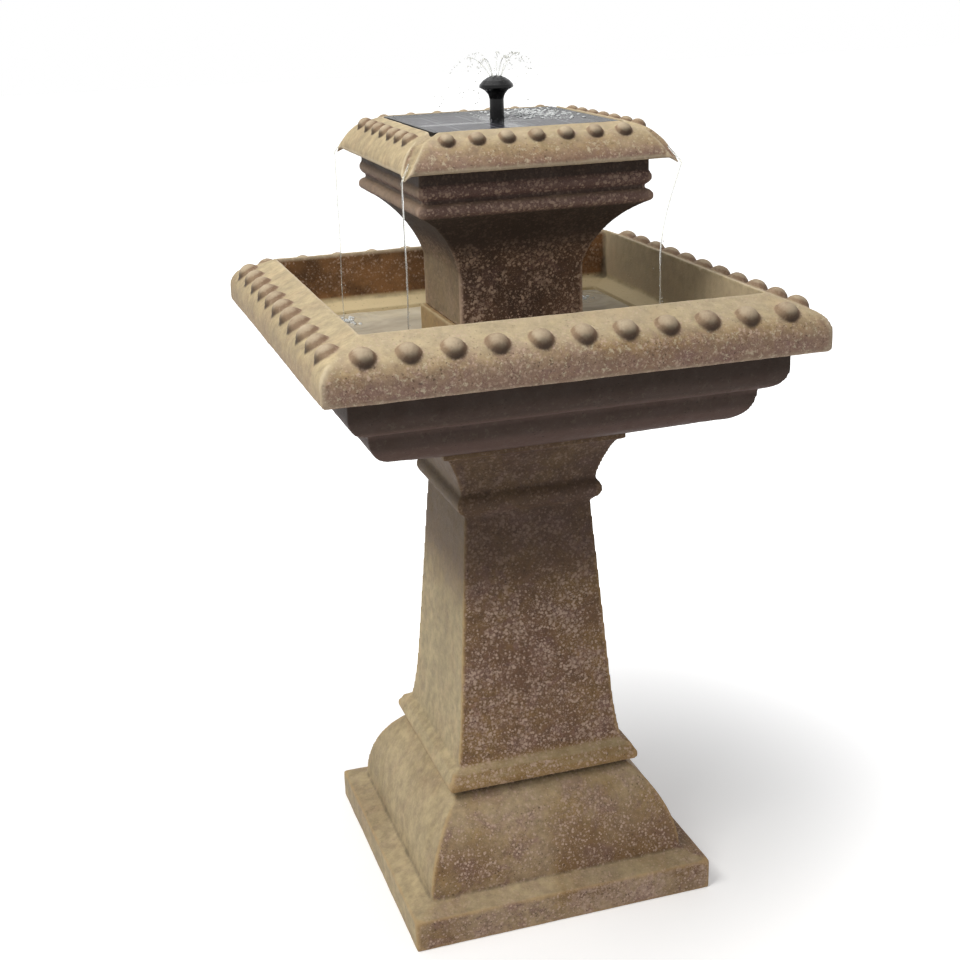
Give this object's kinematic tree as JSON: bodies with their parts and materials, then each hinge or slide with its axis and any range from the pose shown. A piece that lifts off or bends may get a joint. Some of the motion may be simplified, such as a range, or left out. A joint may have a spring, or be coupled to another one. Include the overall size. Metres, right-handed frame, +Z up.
{
  "type": "tiered water fountain",
  "caption": "Square garden fountain of stacked stone castings, with a studded basin, a smaller upper basin, a solar panel and a pumped spray nozzle.",
  "frame": {"origin": "centre of the plinth's underside, on the ground", "axes": "+Z up along the fountain's centre line, X and Y square to the plinth's sides"},
  "size_m": [0.53, 0.53, 0.941],
  "materials": {
    "plinth_stone": "weathered cast stone",
    "shaft_stone": "weathered cast stone",
    "basin_stone": "weathered cast stone",
    "column_stone": "weathered cast stone",
    "crown_stone": "weathered cast stone",
    "black_plastic": "moulded, fine satin",
    "pump_plastic": "moulded, fine satin",
    "clear_cover": "polished",
    "solar_wafer": "dark blue-black wafers",
    "bolt_steel": "zinc plated",
    "seal_rubber": "moulded rubber",
    "hose_rubber": "flexible tube",
    "filter_sponge": "open-cell foam",
    "core_steel": "laminated",
    "coil_copper": "enamelled wire",
    "rod_ceramic": "polished ceramic",
    "magnet_ferrite": "sintered ferrite",
    "rotor_plastic": "moulded",
    "lead_sheath": "flexible lead"
  },
  "bodies": {
    "pedestal": {"base_plinth": "plinth_stone", "pedestal_shaft": "shaft_stone", "lower_basin": "basin_stone", "pump_curb": "basin_stone", "plinth_bolts": "bolt_steel", "plinth_washers": "bolt_steel", "plinth_nuts": "bolt_steel", "basin_bolts": "bolt_steel", "basin_seals": "seal_rubber", "basin_nuts": "bolt_steel", "pump_housing": "pump_plastic", "pump_back_cover": "pump_plastic", "pump_volute": "pump_plastic", "intake_plate": "pump_plastic", "pump_screws": "bolt_steel", "stator_core": "core_steel", "stator_coil": "coil_copper", "impeller_shaft": "rod_ceramic", "shaft_bushes": "seal_rubber", "suction_feet": "seal_rubber", "pump_lead": "lead_sheath", "lead_socket": "black_plastic"},
    "rotor": {"impeller": "rotor_plastic", "rotor_magnet": "magnet_ferrite"},
    "strainer": {"strainer_cover": "pump_plastic", "filter_foam": "filter_sponge"},
    "dial": {"flow_dial": "black_plastic"},
    "upper_tier": {"upper_column": "column_stone", "upper_basin": "crown_stone", "riser_tube": "black_plastic", "riser_seal": "seal_rubber", "riser_nut": "black_plastic", "supply_hose": "hose_rubber", "hose_clip": "bolt_steel", "lead_grommet": "seal_rubber", "panel_pads": "seal_rubber"},
    "solar_panel": {"panel_frame": "black_plastic", "panel_glass": "clear_cover", "solar_cells": "solar_wafer", "junction_box": "black_plastic", "junction_lid": "black_plastic", "panel_gland": "black_plastic", "panel_lead": "lead_sheath", "lead_plug": "black_plastic"},
    "nozzle": {"nozzle_body": "black_plastic", "nozzle_cap": "black_plastic"}
  },
  "joints": [
    {"name": "upper_tier_lift", "type": "slide", "parent": "pedestal", "child": "upper_tier", "axis": [0, 0, 1], "range_m": [0, 0.12]},
    {"name": "panel_lift", "type": "slide", "parent": "upper_tier", "child": "solar_panel", "axis": [0, 0, 1], "range_m": [0, 0.012]},
    {"name": "nozzle_pull", "type": "slide", "parent": "upper_tier", "child": "nozzle", "axis": [0, 0, 1], "range_m": [0, 0.025]},
    {"name": "impeller_spin", "type": "hinge", "parent": "pedestal", "child": "rotor", "pos_m": [0, 0, 0.603], "axis": [0, 1, 0], "continuous": true},
    {"name": "strainer_pull", "type": "slide", "parent": "pedestal", "child": "strainer", "axis": [0, -1, 0], "range_m": [0, 0.015]},
    {"name": "flow_dial_turn", "type": "hinge", "parent": "strainer", "child": "dial", "pos_m": [0, -0.031, 0.603], "axis": [0, -1, 0], "range_deg": [0, 90]}
  ]
}
